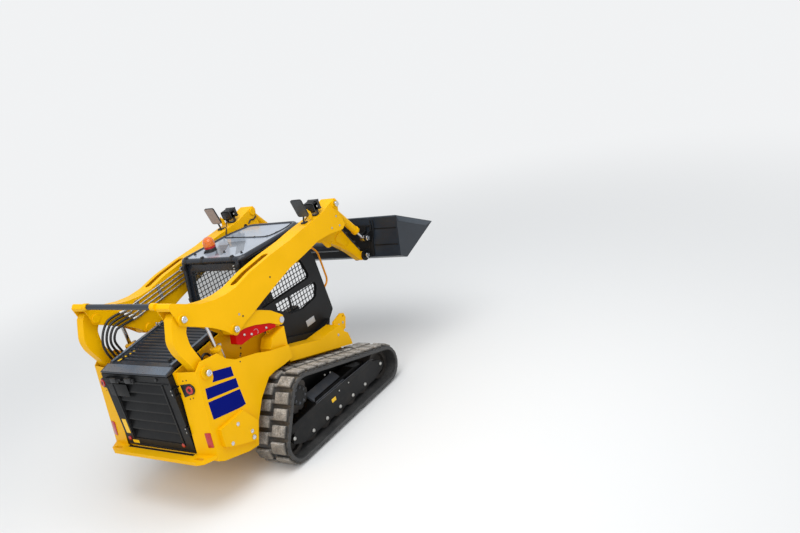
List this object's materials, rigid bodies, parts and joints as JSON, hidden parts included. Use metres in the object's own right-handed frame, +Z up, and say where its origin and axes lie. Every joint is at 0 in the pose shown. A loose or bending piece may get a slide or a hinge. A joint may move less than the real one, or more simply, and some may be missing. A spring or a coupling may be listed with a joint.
{
  "type": "compact track loader",
  "caption": "Compact track loader with a vertical-lift arm, rubber tracks, open-sided cab and a wide bucket, its bucket carried at half height.",
  "frame": {"origin": "middle of the footprint, on the ground under the tracks", "axes": "+X to the bucket, +Y to the operator's left, +Z up"},
  "size_m": [4.024, 2.04, 2.3204],
  "materials": {
    "yellow_paint": "gloss paint",
    "black_paint": "satin paint",
    "slate_paint": "satin paint",
    "track_rubber": "dusty",
    "chrome": "polished",
    "red_paint": "gloss paint",
    "orange_paint": "gloss paint",
    "cast_iron": "dusty",
    "window_glass": "clear",
    "black_plastic": "matte",
    "amber_plastic": "clear",
    "red_plastic": "clear",
    "seat_vinyl": "matte",
    "hose_rubber": "matte",
    "zinc_steel": "satin",
    "blue_film": "gloss"
  },
  "bodies": {
    "root": {"track_left": "track_rubber", "track_right": "track_rubber", "track_rollers": "cast_iron", "track_idlers": "cast_iron", "drive_sprockets": "cast_iron", "drive_motors": "black_paint", "track_frames": "black_paint", "chassis_tub": "yellow_paint", "engine_block": "cast_iron", "side_pods": "yellow_paint", "rear_deck": "black_paint", "link_towers": "yellow_paint", "frame_pins": "chrome", "rear_bumper": "yellow_paint", "tail_lamps": "red_plastic", "beacon": "amber_plastic", "cab_sides": "black_paint", "window_mesh": "black_paint", "rear_window": "window_glass", "cab_frame": "black_paint", "cab_roof": "slate_paint", "cab_mounts": "hose_rubber", "seat_base": "black_plastic", "seat_pads": "seat_vinyl", "control_consoles": "black_plastic", "grab_handle": "orange_paint"},
    "front_links": {"front_links": "yellow_paint", "arm_lock": "red_paint"},
    "lift_arms": {"lift_arms": "yellow_paint", "arm_cross_tubes": "slate_paint", "arm_pins": "chrome", "arm_pipes": "zinc_steel", "work_lights": "black_plastic", "mirrors": "black_plastic", "arm_hose_1": "hose_rubber", "arm_hose_2": "hose_rubber", "arm_hose_3": "hose_rubber", "arm_hose_4": "hose_rubber"},
    "rear_links": {"rear_links": "yellow_paint"},
    "lift_barrels": {"lift_barrels": "yellow_paint"},
    "lift_rods": {"lift_rods": "chrome"},
    "tilt_barrels": {"tilt_barrels": "yellow_paint"},
    "tilt_rods": {"tilt_rods": "chrome"},
    "bucket": {"bucket": "slate_paint", "bucket_coupler": "black_paint"},
    "engine_hood": {"engine_hood": "slate_paint"},
    "rear_door": {"rear_door": "black_paint"}
  },
  "joints": [
    {"name": "lift", "type": "hinge", "parent": "root", "child": "front_links", "pos_m": [-0.538, 0, 1.299], "axis": [0, 1, 0], "range_deg": [-19, 34.5]},
    {"name": "lift_arm_turn", "type": "hinge", "parent": "front_links", "child": "lift_arms", "pos_m": [-1.168, 0, 1.509], "axis": [0, -1, 0], "range_deg": [-42, 76]},
    {"name": "rear_link_turn", "type": "hinge", "parent": "lift_arms", "child": "rear_links", "pos_m": [-1.697, 0, 1.87], "axis": [0, 1, 0], "range_deg": [-24, 43.5], "deforming": ["arm_hose_1", "arm_hose_2", "arm_hose_3", "arm_hose_4"]},
    {"name": "lift_barrel_turn", "type": "hinge", "parent": "root", "child": "lift_barrels", "pos_m": [-1.35, 0, 0.66], "axis": [0, 1, 0], "range_deg": [-2.5, 4]},
    {"name": "lift_rod_slide", "type": "slide", "parent": "lift_barrels", "child": "lift_rods", "axis": [-0.0473, 0, 0.9989], "range_m": [-0.102, 0.178]},
    {"name": "bucket_tilt", "type": "hinge", "parent": "lift_arms", "child": "bucket", "pos_m": [1.172, 0, 1.29], "axis": [0, -1, 0], "range_deg": [-94, 26]},
    {"name": "tilt_barrel_turn", "type": "hinge", "parent": "lift_arms", "child": "tilt_barrels", "pos_m": [0.717, 0, 2.083], "axis": [0, -1, 0], "range_deg": [-1, 3.5]},
    {"name": "tilt_rod_slide", "type": "slide", "parent": "tilt_barrels", "child": "tilt_rods", "axis": [0.6268, 0, -0.7792], "range_m": [-0.075, 0.267]},
    {"name": "hood_lift", "type": "hinge", "parent": "root", "child": "engine_hood", "pos_m": [-1.043, 0, 1.51], "axis": [0, 1, 0], "range_deg": [0, 24]},
    {"name": "rear_door_swing", "type": "hinge", "parent": "root", "child": "rear_door", "pos_m": [-1.895, -0.5, 0.9], "axis": [0, 0, 1], "range_deg": [0, 95]}
  ],
  "couplings": [
    {"joint": "lift_arm_turn", "follows": "lift", "ratio": 2.2},
    {"joint": "rear_link_turn", "follows": "lift", "ratio": 1.25},
    {"joint": "lift_barrel_turn", "follows": "lift", "ratio": 0.1},
    {"joint": "lift_rod_slide", "follows": "lift", "m_per_rad": 0.29},
    {"joint": "tilt_barrel_turn", "follows": "bucket_tilt", "ratio": -0.035},
    {"joint": "tilt_rod_slide", "follows": "bucket_tilt", "m_per_rad": -0.162}
  ]
}
